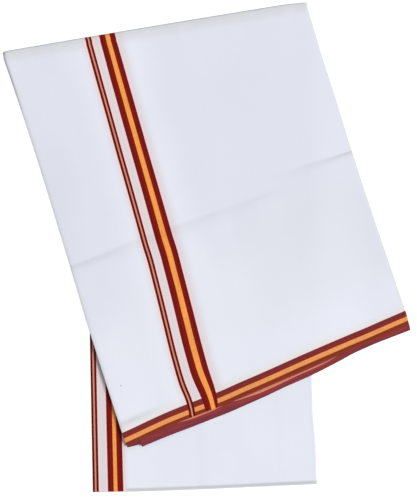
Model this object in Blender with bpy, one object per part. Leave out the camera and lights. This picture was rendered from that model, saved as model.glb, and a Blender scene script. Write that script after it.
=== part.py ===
"""A dhoti, folded into a long packet and laid down doubled over.

The cloth is one unstitched length, pleated eight times across its width into a
flat packet. The packet lies on the floor as the back section; it turns over in
one soft, slightly oblique fold at the top, and comes back down over itself as
the front section, which lies askew and reaches past the back one on both sides.

Metres, +Z up. The origin is on the floor under the middle of the outline, and
+Y runs from the hems towards the fold.
"""
import bpy
import numpy as np

MM = 0.001

# ---- the cloth, in thickness ------------------------------------------------
CLOTH = 1.2 * MM            # wall of a layer that shows, with the air it traps
GAP = 0.3 * MM              # air between one solid and the next
FOLD_AIR = 0.15 * MM        # more of it round the fold, where flat faces cut the curve
BACK_CORE = 3.3 * MM        # hidden layers of the back section
FRONT_CORE = 2.1 * MM       # hidden layers of the front section
LOFT = 2.0 * MM             # how much the stack swells towards the top fold
LOFT_SHARE = 0.16           # the stretch of the front section that swells
PANEL_EDGE = 0.3 * MM       # rounding along the edge of a single layer
FOLD_DEPTH = 12.0 * MM      # the top fold, from its crest to where it lies flat
SLIT_DEPTH = 3.0 * MM       # the slit inside the fold, same way
TUCK_UNDER = 10.0 * MM      # the front panel's end under the fold, on the floor

# ---- the outline, seen from above -------------------------------------------
# Corners, in X and Y. The fold corners are on the crest of the top fold.
FOLD_LEFT = (-305.4 * MM, 293.8 * MM)
FOLD_RIGHT = (149.3 * MM, 369.7 * MM)
HEM_LEFT = (-120.8 * MM, -298.7 * MM)
HEM_RIGHT = (304.9 * MM, -116.2 * MM)
BACK_LEFT = (-170.5 * MM, -367.1 * MM)
BACK_RIGHT = (166.7 * MM, -354.5 * MM)

# How far each edge stands off the straight line between its corners, at the
# quarters of its length: to the right of someone walking from the first
# corner to the second.
EDGE_BOWS = {
    # edge:        first quarter, middle, last quarter
    "front_left": (-2.1 * MM, -1.1 * MM, 0.7 * MM),
    "front_right": (0.6 * MM, 1.4 * MM, 0.2 * MM),
    "hem": (0.9 * MM, 0.8 * MM, 0.4 * MM),
    "back_right": (1.6 * MM, 5.0 * MM, 5.8 * MM),
    "back_hem": (1.3 * MM, 1.3 * MM, 0.7 * MM),
}
# The back section's left margin is turned under: its edge eases in from the
# fold's corner over a short way, then runs almost straight to the hem.
MARGIN_LENGTH = 220.0 * MM
BACK_EDGE_LEAN = 0.02       # how far the straight stretch leans right, per metre down

# The crest of the fold bows out a little. It is drawn back at its two ends, so its
# corners are round, and falls back slowly on its way to the right one.
CREST_BOW = 0.6 * MM
CREST_ROUNDING = {"left": 2.5 * MM, "right": 3.6 * MM}
CORNER_WIDTH = 0.016        # share of the width that each corner takes
CREST_SAG = 1.6 * MM
CREST_SAG_SHARE = 0.08      # share of the width over which it falls back

# How far the second layer stands out past the front hem, across the width.
PEEK = {
    "share": (0.000, 0.049, 0.053, 0.20, 0.29, 0.37, 0.52, 0.63, 0.75, 0.80, 0.88, 1.00),
    "reach": tuple(mm * MM for mm in (
        -3.0, -3.0, 9.5, 11.2, 10.4, 12.1, 12.1, 11.4, 7.3, 5.1, 4.7, 7.2)),
}

# ---- the crease across the front section ----------------------------------------
# At each share of the width: how far it is on the way from fold to hem, and its depth.
CREASE = {
    "share": (0.00, 0.14, 0.45, 0.60, 0.75, 0.84, 0.93, 1.00),
    "way": (0.538, 0.530, 0.513, 0.482, 0.458, 0.4535, 0.453, 0.450),
    "depth": tuple(mm * MM for mm in (0.70, 0.50, 0.35, 0.13, 0.24, 0.80, 1.10, 1.10)),
}
CREASE_MIDDLE = 0.49        # the share of the way at which rows of points meet it
CREASE_RUN_IN = 20.0 * MM   # it sinks slowly on the fold's side
CREASE_RUN_OUT = 3.6 * MM   # and comes up again faster on the hem's side
CREASE_STATIONS = (-36.0 * MM, -18.0 * MM, -7.0 * MM, 0.0, 3.6 * MM, 9.0 * MM)

# ---- how the front drapes over the back section's edges ----------------------
FREE_REACH = 8.0 * MM       # it stays level this far past the edge below it
RAMP = 80.0 * MM            # then it comes down to the floor over this width

# ---- edges, ring by ring through the thickness --------------------------------
# share of the thickness from the outer face, and how far that ring is drawn in
LAYERED_EDGE = {
    "share": (0.00, 0.17, 0.34, 0.50, 0.66, 0.83, 1.00),
    "inset": (1.6 * MM, 0.4 * MM, 1.7 * MM, 0.1 * MM, 1.7 * MM, 0.4 * MM, 1.6 * MM),
}
CORE_SETBACK = 2.0 * MM     # hidden layers end this far inside the ones that show

# ---- fineness -----------------------------------------------------------------
COLUMNS = 20                # across the width, between the corners
FRONT_ROWS = 20             # from the hem band up to the fold
HEM_ROWS = (0.0, 0.01)      # shares of the front section's length
FOLD_ROWS = 8
MARGIN_ROWS = 8             # down the turned-in stretch of the back section
BACK_ROWS = 6               # from there to the back hem

LIFT = BACK_CORE + GAP + CLOTH + GAP            # the front section's underside
FRONT_STACK = FRONT_CORE + 2 * (GAP + CLOTH)    # its thickness

COLOURS = {
    # node:        base colour, roughness
    "front_panel": ((0.80, 0.82, 0.87), 0.85),
    "second_panel": ((0.36, 0.05, 0.04), 0.85),
    "back_panel": ((0.78, 0.80, 0.86), 0.85),
    "inner_folds": ((0.74, 0.76, 0.82), 0.90),
}


def smooth(x):
    """A soft step from 0 to 1 as x goes from 0 to 1."""
    x = np.clip(x, 0.0, 1.0)
    return x * x * (3.0 - 2.0 * x)


def bowed_line(start, end, bows, share):
    """The point at a share of the way along a line that bows off its chord."""
    start, end = np.array(start), np.array(end)
    chord = end - start
    right = np.array((chord[1], -chord[0])) / np.hypot(*chord)
    stations = np.array((0.0, 0.25, 0.5, 0.75, 1.0))
    heights = np.array((0.0, *bows, 0.0))
    bow = np.polyval(np.polyfit(stations, heights, 4), share)
    share = np.asarray(share)[..., None]
    return start + chord * share + right * bow[..., None]


FOLD_VECTOR = np.array(FOLD_RIGHT) - np.array(FOLD_LEFT)
ALONG_FOLD = FOLD_VECTOR / np.hypot(*FOLD_VECTOR)
OUT_OF_FOLD = np.array((-ALONG_FOLD[1], ALONG_FOLD[0]))
FLAT_LEFT = np.array(FOLD_LEFT) - OUT_OF_FOLD * FOLD_DEPTH
FLAT_RIGHT = np.array(FOLD_RIGHT) - OUT_OF_FOLD * FOLD_DEPTH

FRONT_LENGTH = 0.5 * (np.hypot(*(FLAT_LEFT - HEM_LEFT)) + np.hypot(*(FLAT_RIGHT - HEM_RIGHT)))
BACK_LENGTH = FLAT_RIGHT[1] - BACK_RIGHT[1]
WIDTH = np.hypot(*FOLD_VECTOR)

TUCK_SHARE = 1.1 * TUCK_UNDER / BACK_LENGTH     # just past the front panel's tucked end
MARGIN_SHARE = MARGIN_LENGTH / BACK_LENGTH
SECOND_END = 0.5 * LOFT_SHARE                   # the second panel's end below the fold


def back_left_edge(share):
    """The back section's left edge: it eases in from the corner, then runs on."""
    y = FLAT_LEFT[1] + (BACK_LEFT[1] - FLAT_LEFT[1]) * share
    return np.stack((back_left_x(y), y), axis=-1)


def back_left_x(y):
    """X of the back section's left edge at a given Y."""
    turn_in = np.clip((FLAT_LEFT[1] - y) / MARGIN_LENGTH, 0.0, 1.0)
    straight = BACK_LEFT[0] - BACK_EDGE_LEAN * (y - BACK_LEFT[1])
    corner_straight = BACK_LEFT[0] - BACK_EDGE_LEAN * (FLAT_LEFT[1] - BACK_LEFT[1])
    return straight - (corner_straight - FLAT_LEFT[0]) * (1.0 - turn_in) ** 2


def back_right_x(y):
    """X of the back section's right edge at a given Y."""
    share = np.clip((FLAT_RIGHT[1] - y) / BACK_LENGTH, 0.0, 1.0)
    return bowed_line(FLAT_RIGHT, BACK_RIGHT, EDGE_BOWS["back_right"], share)[..., 0]


def patch(u, v, top, bottom, left, right):
    """A point in the sheet that four edges span: u across, v from top to bottom."""
    cross = (1 - v)[..., None] * top(u) + v[..., None] * bottom(u)
    down = (1 - u)[..., None] * left(v) + u[..., None] * right(v)
    corners = 0.0
    for share_u, end_u in ((1 - u, 0.0), (u, 1.0)):
        for share_v, edge in ((1 - v, top), (v, bottom)):
            corners = corners + (share_u * share_v)[..., None] * edge(np.array(end_u))
    return cross + down - corners


def fold_line(u):
    """Where the packet leaves the flat and starts to turn over."""
    return FLAT_LEFT + (FLAT_RIGHT - FLAT_LEFT) * np.asarray(u)[..., None]


def front_plan(u, v):
    """X and Y in the front section: u from its left edge, v from fold to hem."""
    return patch(
        u, v, fold_line,
        lambda s: bowed_line(HEM_LEFT, HEM_RIGHT, EDGE_BOWS["hem"], s),
        lambda s: bowed_line(FLAT_LEFT, HEM_LEFT, EDGE_BOWS["front_left"], s),
        lambda s: bowed_line(FLAT_RIGHT, HEM_RIGHT, EDGE_BOWS["front_right"], s),
    )


def back_plan(u, v):
    """X and Y in the back section: u from its left edge, v from fold to hem."""
    return patch(
        u, v, fold_line,
        lambda s: bowed_line(BACK_LEFT, BACK_RIGHT, EDGE_BOWS["back_hem"], s),
        back_left_edge,
        lambda s: bowed_line(FLAT_RIGHT, BACK_RIGHT, EDGE_BOWS["back_right"], s),
    )


def front_underside(plan):
    """Height of the front section's underside: on the back section, then the floor."""
    x, y = plan[..., 0], plan[..., 1]
    step = 1.0 * MM
    lean = (back_left_x(y) - back_left_x(y + step)) / step
    past_left = (back_left_x(y) - x) / np.hypot(1.0, lean)
    outside = np.maximum(past_left, x - back_right_x(y))
    return LIFT * (1.0 - smooth((outside - FREE_REACH) / RAMP))


def loft(v):
    """Extra height of the front section close to the fold."""
    return LOFT * smooth(1.0 - v / LOFT_SHARE)


def corner_pull(u):
    """How far the fold's crest is drawn back at the two ends of the fold."""
    left = CREST_ROUNDING["left"] * (1.0 - np.clip(u / CORNER_WIDTH, 0.0, 1.0))
    right = CREST_ROUNDING["right"] * (1.0 - np.clip((1.0 - u) / CORNER_WIDTH, 0.0, 1.0))
    sag = CREST_SAG * smooth(1.0 - (1.0 - u) / CREST_SAG_SHARE)
    return left + right + sag - CREST_BOW * 4.0 * u * (1.0 - u)


def crease_way(u):
    """The share of the way from fold to hem at which the crease runs."""
    return np.interp(u, CREASE["share"], CREASE["way"])


def follow_crease(u, v):
    """The way down the front section, bent so that one row of points runs in the crease."""
    hat = np.where(v < CREASE_MIDDLE, v / CREASE_MIDDLE, (1.0 - v) / (1.0 - CREASE_MIDDLE))
    return v + (crease_way(u) - CREASE_MIDDLE) * smooth(hat)


def crease_depth(u, v):
    """The crease: deepest in its line, dying away at its own rate on either side."""
    from_line = (v - crease_way(u)) * FRONT_LENGTH
    rate = np.where(from_line < 0.0, from_line / CREASE_RUN_IN, -from_line / CREASE_RUN_OUT)
    return np.interp(u, CREASE["share"], CREASE["depth"]) * np.exp(rate)


def around_fold(u, turn, top, bottom, depth):
    """A half ellipse from a top height to a bottom one, for a turn from 0 to 1."""
    angle = np.pi * (0.5 - turn)
    reach = (depth - corner_pull(u)) * np.cos(angle)
    plan = fold_line(u) + OUT_OF_FOLD * reach[..., None]
    z = 0.5 * (top + bottom) + 0.5 * (top - bottom) * np.sin(angle)
    return np.concatenate((plan, z[..., None]), axis=-1)


def packet_surface(u, t, front_height, back_height, depth):
    """A surface that runs through the whole packet.

    t goes from 0 at the front hem to 1 at the fold, 2 past the fold and 3 at the
    back hem. The front height is a function of (plan, u, v), the back one of v, and
    depth is the half ellipse's reach in the fold.
    """
    front_v = follow_crease(u, 1.0 - np.minimum(t, 1.0))
    back_v = np.maximum(t, 2.0) - 2.0
    front_xy, back_xy = front_plan(u, front_v), back_plan(u, back_v)
    front_z, back_z = front_height(front_xy, u, front_v), back_height(back_v)
    front = np.concatenate((front_xy, front_z[..., None]), axis=-1)
    back = np.concatenate((back_xy, back_z[..., None]), axis=-1)
    fold = around_fold(u, np.clip(t - 1.0, 0.0, 1.0), front_z, back_z, depth)
    part = t[..., None]
    return np.where(part <= 1.0, front, np.where(part >= 2.0, back, fold))


def front_top(plan, u, v):
    """Height of the front section's top."""
    return front_underside(plan) + FRONT_STACK + loft(v) - crease_depth(u, v)


def outer_face(sunk):
    """The packet's outer face, moved in by a depth: top in front, floor at the back."""
    return lambda u, t: packet_surface(
        u, t,
        lambda plan, u, v: front_top(plan, u, v) - sunk,
        lambda v: np.full(v.shape, sunk),
        FOLD_DEPTH - sunk,
    )


def core_outer(u, t):
    """The hidden layers' outer face, under both front layers and down to the floor.

    It rises by one layer where the second panel ends short of the fold, and settles
    on the floor just past the front panel's tucked end.
    """
    layer = CLOTH + GAP
    return packet_surface(
        u, t,
        lambda plan, u, v: front_top(plan, u, v) - layer * (1.0 + smooth(v / SECOND_END)),
        lambda v: layer * (1.0 - smooth((v - TUCK_SHARE) / TUCK_SHARE)),
        FOLD_DEPTH - layer - FOLD_AIR,
    )


def core_inner(u, t):
    """The hidden layers' inner face, round the back panel and the slit in the fold."""
    return packet_surface(
        u, t,
        lambda plan, u, v: front_underside(plan),
        lambda v: np.full(v.shape, BACK_CORE),
        SLIT_DEPTH + CREST_ROUNDING["right"] + CREST_SAG,
    )


def back_face(raised):
    """The back panel's underside, on the hidden layers, moved up by a height."""
    height = BACK_CORE + GAP + raised
    return lambda u, t: packet_surface(
        u, t,
        lambda plan, u, v: front_underside(plan),
        lambda v: np.full(v.shape, height),
        FOLD_DEPTH,
    )


def width_stations():
    """Shares across the width: evenly spaced, closer at both corners and the step."""
    even = np.linspace(2 * PEEK["share"][2], 1.0 - CREST_SAG_SHARE / 2, COLUMNS)
    step = PEEK["share"][1:3]
    return np.array((0.0, CORNER_WIDTH, *step, *even, 1.0 - CORNER_WIDTH, 1.0))


def front_rows():
    """Shares of the way from hem to fold: evenly spaced, and closer about the crease."""
    even = np.linspace(2 * HEM_ROWS[1], 1.0, FRONT_ROWS)
    crease = np.sort(1.0 - CREASE_MIDDLE - np.array(CREASE_STATIONS) / FRONT_LENGTH)
    clear = 0.25 * (even[1] - even[0])
    even = even[(even < crease[0] - clear) | (even > crease[-1] + clear)]
    return np.sort(np.concatenate((HEM_ROWS, even, crease)))


def closed_solid(name, outer, inner, us, ts, shares, insets, hem_reach=0.0):
    """A closed solid between two faces of the packet, as one mesh of triangles.

    Both faces are grids over the same stations. The rings between them follow the
    four edges through the thickness, each drawn in by its own inset. hem_reach
    moves the first row of stations out past the hem, station by station.
    """
    rings = []
    for share, inset in zip(shares, insets):
        u_line, t_line = us.copy(), ts.copy()
        u_line[[0, -1]] += np.array((inset, -inset)) / WIDTH
        t_line[[0, -1]] += np.array((inset / FRONT_LENGTH, -inset / BACK_LENGTH))
        u, t = np.meshgrid(u_line, t_line, indexing="ij")
        t[:, 0] -= hem_reach / FRONT_LENGTH
        rings.append((1.0 - share) * outer(u, t) + share * inner(u, t))

    columns, rows = len(us), len(ts)
    index = np.arange(columns * rows).reshape(columns, rows)
    edge = np.concatenate((index[:-1, 0], index[-1, :-1], index[:0:-1, -1], index[0, :0:-1]))
    points = [rings[0].reshape(-1, 3)]
    points += [ring.reshape(-1, 3)[edge] for ring in rings[1:-1]]
    points += [rings[-1].reshape(-1, 3)]

    a, b, c, d = index[:-1, :-1], index[1:, :-1], index[1:, 1:], index[:-1, 1:]
    sheet = np.concatenate([np.stack(tri, axis=-1).reshape(-1, 3) for tri in ((a, b, c), (a, c, d))])
    last_sheet = columns * rows + (len(rings) - 2) * len(edge)
    loops = [edge]
    loops += [columns * rows + k * len(edge) + np.arange(len(edge)) for k in range(len(rings) - 2)]
    loops += [last_sheet + edge]
    faces = [sheet, sheet[:, ::-1] + last_sheet]
    for upper, lower in zip(loops, loops[1:]):
        upper_next, lower_next = np.roll(upper, -1), np.roll(lower, -1)
        faces.append(np.stack((upper, lower, lower_next), axis=-1))
        faces.append(np.stack((upper, lower_next, upper_next), axis=-1))

    mesh = bpy.data.meshes.new(name)
    mesh.from_pydata(np.concatenate(points).tolist(), [], np.concatenate(faces).tolist())
    mesh.validate()
    solid = bpy.data.objects.new(name, mesh)
    bpy.context.collection.objects.link(solid)
    solid.data.materials.append(cloth_material(name))
    mesh.shade_smooth()
    mesh.set_sharp_from_angle(angle=np.radians(40))
    return solid


def cloth_material(name):
    """Plain matt cotton in the node's own colour."""
    colour, roughness = COLOURS[name]
    material = bpy.data.materials.new(name + "_cloth")
    material.use_nodes = True
    shader = material.node_tree.nodes["Principled BSDF"]
    shader.inputs["Base Color"].default_value = (*colour, 1.0)
    shader.inputs["Roughness"].default_value = roughness
    shader.inputs["Metallic"].default_value = 0.0
    return material


def build():
    """The four solids: the three stretches that show and the layers they hide."""
    us = width_stations()
    front = front_rows()
    fold = np.linspace(1.0, 2.0, FOLD_ROWS + 1)
    back = 2.0 + np.concatenate((
        (0.0, TUCK_SHARE),
        np.linspace(2 * TUCK_SHARE, MARGIN_SHARE, MARGIN_ROWS),
        np.linspace(MARGIN_SHARE, 1.0, BACK_ROWS)[1:],
    ))
    panel_rings = ((0.0, 0.5, 1.0), (PANEL_EDGE, 0.0, PANEL_EDGE))
    inner_us = us.copy()
    inner_us[[0, -1]] += np.array((CORE_SETBACK, -CORE_SETBACK)) / WIDTH

    over_fold = np.concatenate((front, fold[1:], [2.0 + TUCK_UNDER / BACK_LENGTH]))
    closed_solid("front_panel", outer_face(0.0), outer_face(CLOTH), us, over_fold, *panel_rings)

    under_front = front[front < 1.0 - SECOND_END]
    second = CLOTH + GAP
    closed_solid("second_panel", outer_face(second), outer_face(second + CLOTH),
                 inner_us, under_front, *panel_rings,
                 hem_reach=np.interp(us, PEEK["share"], PEEK["reach"]))

    closed_solid("back_panel", back_face(0.0), back_face(CLOTH), us, back, *panel_rings)

    core = np.concatenate((front, fold[1:], back[1:]))
    core[[0, -1]] += np.array((CORE_SETBACK / FRONT_LENGTH, -CORE_SETBACK / BACK_LENGTH))
    closed_solid("inner_folds", core_outer, core_inner, inner_us, core,
                 LAYERED_EDGE["share"], LAYERED_EDGE["inset"])


for old in list(bpy.data.objects):
    bpy.data.objects.remove(old, do_unlink=True)
build()
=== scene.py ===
"""A folded dhoti: the woven look of the packet, as four cloth sheets.

The cloth is pleated into eight layers across its width, with both cut ends turned
in, and the packet is doubled over one soft fold. Every sheet is a thin shell that
runs from the front hem, over the fold, to the back hem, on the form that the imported
solids have. Metres, +Z up, in the same frame as the solids.
"""

import bpy
import numpy as np
from bpy.props import FloatProperty, FloatVectorProperty, PointerProperty
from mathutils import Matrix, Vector


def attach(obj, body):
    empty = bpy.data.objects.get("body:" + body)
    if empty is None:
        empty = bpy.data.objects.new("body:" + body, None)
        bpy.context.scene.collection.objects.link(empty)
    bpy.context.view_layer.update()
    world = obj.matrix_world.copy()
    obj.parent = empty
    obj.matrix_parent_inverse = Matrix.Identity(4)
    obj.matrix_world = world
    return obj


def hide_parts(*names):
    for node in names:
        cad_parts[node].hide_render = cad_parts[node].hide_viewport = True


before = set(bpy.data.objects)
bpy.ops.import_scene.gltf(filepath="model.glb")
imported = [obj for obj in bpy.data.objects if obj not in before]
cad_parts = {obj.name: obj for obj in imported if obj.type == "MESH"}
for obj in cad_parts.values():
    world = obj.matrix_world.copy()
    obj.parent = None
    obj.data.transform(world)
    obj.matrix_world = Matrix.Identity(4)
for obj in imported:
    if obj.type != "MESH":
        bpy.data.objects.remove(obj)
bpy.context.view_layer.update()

bl_info = {
    "name": "Folded dhoti",
    "version": (1, 0, 0),
    "blender": (4, 5, 0),
    "location": "View3D > Sidebar > Dhoti",
    "description": "Builds a folded dhoti as woven cotton sheets, with its floor, lights and camera",
    "category": "Add Mesh",
}

MM = 0.001
BODY = "root"
CLOTH_UV = "cloth_metres"
EDGES_UV = "metres_from_edges"


def in_mm(*values):
    """Metres from millimetres."""
    return tuple(value * MM for value in values)


# ---- the packet's outline, seen from above ------------------------------------
FOLD_LEFT = in_mm(-305.4, 293.8)
FOLD_RIGHT = in_mm(149.3, 369.7)
HEM_LEFT = in_mm(-120.8, -298.7)
HEM_RIGHT = in_mm(304.9, -116.2)
BACK_LEFT = in_mm(-170.5, -367.1)
BACK_RIGHT = in_mm(166.7, -354.5)

# How far an edge stands off its chord at the quarters of its length, to the right
# of someone walking from its first corner to its second.
EDGE_BOWS = {
    "front_left": in_mm(-2.1, -1.1, 0.7),
    "front_right": in_mm(0.6, 1.4, 0.2),
    "hem": in_mm(0.9, 0.8, 0.4),
    "back_right": in_mm(1.6, 5.0, 5.8),
    "back_hem": in_mm(1.3, 1.3, 0.7),
}
# Side edges also stray a little to the right of their bows, down the section, and
# the cloth within some shares of the width goes with them.
FRONT_STRAY = {
    "share": (0.00, 0.14, 0.30, 0.45, 0.60, 0.67, 0.76, 0.85, 0.92, 0.97, 1.00),
    "left": in_mm(0.0, 0.0, 0.0, 0.0, 0.2, -0.1, 0.8, 0.9, 0.9, 0.9, 0.4),
    "right": in_mm(1.3, -0.5, 0.8, 0.1, 0.1, 0.0, 0.0, 0.2, 0.6, 1.0, 0.0),
}
BACK_STRAY = {
    "share": (0.00, 0.78, 0.83, 0.86, 0.89, 0.93, 0.96, 1.00),
    "right": in_mm(1.3, 0.9, 0.7, 0.1, 1.9, 1.9, 0.9, -0.4),
}
FRONT_STRAY_WIDTH = 0.2
BACK_STRAY_WIDTH = 0.3
MARGIN_LENGTH = 220.0 * MM      # the back section narrows over this way from the fold
BACK_EDGE_LEAN = 0.02           # lean of its straight left edge, per metre

# ---- the packet's thickness ---------------------------------------------------
FRONT_STACK = 5.1 * MM          # all layers of the front section
BACK_STACK = 4.8 * MM           # all layers of the back section
LIFT = 5.1 * MM                 # the front section's underside over the back one
# Its left edge stands higher still near the hem, and less again at the hem itself.
CURL = {"height": 3.6 * MM, "width": 0.16, "from": 0.62, "over": 0.14}
CURL_LESS = {"share": 0.5, "from": 0.9, "over": 0.1}
LOFT = 2.0 * MM                 # how much the front section swells towards the fold
LOFT_SHARE = 0.16               # the stretch that swells
RAMP = 95.0 * MM                # past the back section's edges it sinks over this way
FOLD_DEPTH = 12.0 * MM          # crest of the fold to where the packet lies flat
FOLD_PITCH = 0.6 * MM           # from layer to layer at the crest
FOLD_SQUARENESS = 3.2           # 2 would turn over in an ellipse, more is blunter
FOLD_ARC = 29.0 * MM            # the cloth's way round the fold
CORNER_PULL = {"left": 2.5 * MM, "right": 2.2 * MM}     # rounding of the crest's ends
CORNER_WIDTH = {"left": 0.014, "right": 0.007}          # shares of the width that it takes
CREST_BOW = 0.6 * MM            # the crest bows out by this much in its middle
CREST_OUT = 0.9 * MM            # and stands a little out past the solids' own
CREST_SAG = 1.6 * MM            # the crest also falls back slowly towards its right end
CREST_SAG_SHARE = 0.08          # over this share of the width
TURN_BULGE = 0.6 * MM           # a pleat's round edge, out from where it lies flat
# The packet rounds off towards its edges: by this share of its height, over this way.
PRESSED = {"left": (0.40, 2.0 * MM), "right": (0.04, 3.0 * MM), "tail": (0.50, 5.5 * MM)}
# The front's left edge is pressed by this much more, from so far down the section.
PRESSED_MORE = {"share": 0.25, "from": 0.45, "over": 0.15}

# ---- the eight layers, from the outside of the doubled packet inwards ---------
# Slots 1 and 8 hold the two turned-in ends.
SLOTS = 9
LAYER_SLOT = (0, 2, 3, 4, 5, 6, 7, 9)
END_SLOT = {"first": 1, "last": 8}
# How far each layer's edge lies inside the outline: at the front hem, at the fold
# and at the back hem. A pleat's edge serves the two layers that meet in it.
LEFT_INSETS = (
    in_mm(0.9, 0.0, 1.2),
    in_mm(22.6, 3.0, 1.8),
    in_mm(2.0, 1.2, 0.6),
    in_mm(2.8, 1.6, 2.0),
    in_mm(1.7, 0.8, 0.0),
)
RIGHT_INSETS = (
    in_mm(0.0, 0.0, 0.9),
    in_mm(1.3, 1.0, 0.3),
    in_mm(0.6, 0.6, 1.5),
    in_mm(1.7, 1.2, 0.0),
)
# How far each layer's hem stands out past the outline, in front and at the back.
HEM_REACH = in_mm(0.0, 0.0, -2.0, 0.0, -2.4, -4.0, -3.0, -3.6)
TAIL_REACH = in_mm(-0.4, 0.6, -0.2, 0.8, 0.0, 0.6, -0.6, -0.7)
END_SHY = 1.5 * MM              # a turned-in end stops this far inside its layer's hem
REACH_SHARE = 0.08              # the stretch of the section that takes up such a reach
HEM_SINK = (0.75, 13.0 * MM)    # a hem past the outline sinks by this share, over this way
# Some layers' own reach past the front hem, across the width.
HEM_REACHES = {
    0: {
        "share": (0.00, 0.04, 0.20, 0.30, 0.36, 0.45, 0.68, 0.78, 0.88, 1.00),
        "reach": in_mm(-3.0, -3.8, -3.8, -2.0, -0.8, -0.2, -0.3, -1.0, -2.6, -2.8),
    },
    1: {
        "share": (0.045, 0.12, 0.16, 0.22, 0.29, 0.35, 0.40, 0.50,
                  0.54, 0.63, 0.67, 0.75, 0.80, 0.88, 0.92, 1.00),
        "reach": in_mm(8.7, 8.9, 9.4, 10.6, 11.5, 12.6, 12.3, 11.9,
                       10.8, 10.6, 10.1, 7.7, 5.3, 5.1, 5.9, 7.5),
    },
    3: {
        "share": (0.00, 0.05, 0.09, 0.20, 1.00),
        "reach": in_mm(0.8, 4.6, 4.6, -1.0, -3.4),
    },
}

# ---- the cloth's own sizes ----------------------------------------------------
CUT_LENGTH = 3.66               # along the cloth, across all the layers
END_TURN = 30.0 * MM            # each cut end is turned in by this much
LAYER_WIDTH = (CUT_LENGTH - 2 * END_TURN) / 8
BACK_WIDTH = 333.0 * MM         # the back section where it shows
LAP = 3.0 * MM                  # a sheet runs on past its pleat, under the next layer
END_GAP = LAP / 3               # a turned-in end starts this far in from its pleat

# ---- stripes, as shares of the width from the left edge ------------------------
# They wander a little on their way from the crest (share -0.5) over the flat's start
# (share 0) to the hem (share 1).
STRIPE_PATH = {
    "share": (-0.50, 0.00, 0.03, 0.10, 0.20, 0.29, 0.44, 0.535, 0.575,
              0.60, 0.68, 0.75, 0.82, 0.89, 0.92, 0.945, 0.97, 1.00),
    "narrow_left": (0.2701, 0.2736, 0.2709, 0.2662, 0.2611, 0.2571, 0.2526, 0.2493, 0.2500,
                    0.2487, 0.2434, 0.2377, 0.2316, 0.2282, 0.2290, 0.2330, 0.2318, 0.2267),
    "wide_left": (0.3165, 0.3200, 0.3179, 0.3124, 0.3074, 0.3041, 0.2994, 0.2956, 0.2961,
                  0.2947, 0.2900, 0.2838, 0.2778, 0.2745, 0.2776, 0.2820, 0.2846, 0.2838),
    "wide_right": (0.3685, 0.3720, 0.3703, 0.3665, 0.3623, 0.3592, 0.3559, 0.3536, 0.3546,
                   0.3526, 0.3479, 0.3434, 0.3384, 0.3346, 0.3348, 0.3354, 0.3322, 0.3244),
}
# The wide stripe's middle band, as shares of that stripe: it moves over near the hem.
WIDE_MIDDLE = {
    "share": (0.00, 0.30, 0.60, 0.90, 0.95, 1.00),
    "from": (0.380, 0.375, 0.365, 0.375, 0.410, 0.470),
    "to": (0.650, 0.660, 0.675, 0.680, 0.720, 0.820),
}
NARROW_SHARE = 0.0200
# Start along the cloth, width, and where within it the middle band starts and ends.
NARROW = in_mm(113.5, 9.2, 3.6, 5.95)
WIDE = in_mm(134.6, 23.6, 8.85, 15.6)
BACK_NARROW = in_mm(0.0, 9.3, 3.5, 5.9)
BACK_WIDE = in_mm(22.7, 22.9, 8.7, 14.2)
HEM_BAND = in_mm(23.5, 7.95, 14.7)      # width, and its middle band's ends
# How far the hem band strays from the hem's bowed line, across the width.
HEM_WANDER = {
    "share": (0.00, 0.05, 0.10, 0.155, 0.22, 0.35, 0.42, 0.49,
              0.55, 0.60, 0.70, 0.80, 0.86, 0.93, 1.00),
    "stray": in_mm(-1.1, -0.3, 0.7, 1.3, 0.8, -1.2, -0.6, -0.7,
                   -0.45, 0.0, 0.15, -0.25, -0.85, -0.45, -0.4),
}
# How much of the second layer's middle band shows past the front hem.
SLIVER = {
    "share": (0.00, 0.19, 0.235, 0.32, 0.335, 0.37, 0.39, 0.44,
              0.47, 0.53, 0.60, 0.68, 0.72, 0.755, 0.80, 1.00),
    "shows": in_mm(-4.6, -3.6, -0.5, 0.7, -1.4, -1.4, 1.0, 2.8,
                   4.2, 3.7, 2.4, 2.2, 0.8, -1.0, -4.0, -4.0),
}

SPOT = in_mm(23.0, 89.0)        # a small stain, across and along the front layer

# Rims are the outermost yarns, in their own colour, and a fringe is run dye beside them.
STRIPE_LOOKS = {
    "narrow": {"rim": 0.8 * MM, "outer": "maroon_narrow", "middle": "salmon"},
    "wide": {"rim": 7.5 * MM, "outer": "maroon", "middle": "orange"},
}
STRIPE_FRINGE = 4.0 * MM
HEM_RIMS = in_mm(1.8, 6.0)
HEM_FRINGE = 2.4 * MM
FRINGE_SHARE = 0.75
# The tint between the stripes starts within the narrow one, and past the wide one it
# dies away over its own way in each section.
HALO_START = 6.0 * MM
HALO = {"front": 18.0 * MM, "back": 10.0 * MM}

# ---- the white's tones and its painted light and shade, in metres across and along the cloth ---
# The next two set painted shade and painted light on the white: dullest near the crest, brighter about the
# wide stripe.
DULL_WAY = 0.62                 # along: where the white is dullest
STRIPES_MIDDLE = 12.0 * MM      # from the wide stripe's start: the white is bright about it
BACK_HEM_SHADE_LINE = 2.7 * MM       # painted shade: a grey line lies about this way in from the back hem
CREASE_SHADE_WAY = 34.5 * MM        # along: the middle of a strip of painted shade above the hem, over its crease
SLOPE_SHADE_WAY = 0.17              # along: the middle of a patch that slopes to the hem, given painted shade
MOTTLE_SHARE = 0.4
# Noise: turns in each metre along three axes, of which the first two lie across and
# along the cloth where its own place is used, then the detail and the roughness.
NOISES = {
    "mottle": ((9.0, 9.0, 9.0), 3.0, 0.55),
    # The next noise breaks up the painted shade along the crest into patches.
    "crest_shade_patches": ((30.0, 60.0, 1.0), 2.0, 0.5),
    "streaks": ((16.0, 480.0, 1.0), 2.0, 0.6),
    "warp": ((900.0, 22.0, 1.0), 2.0, 0.5),
    "weft": ((22.0, 900.0, 1.0), 2.0, 0.5),
}
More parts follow.
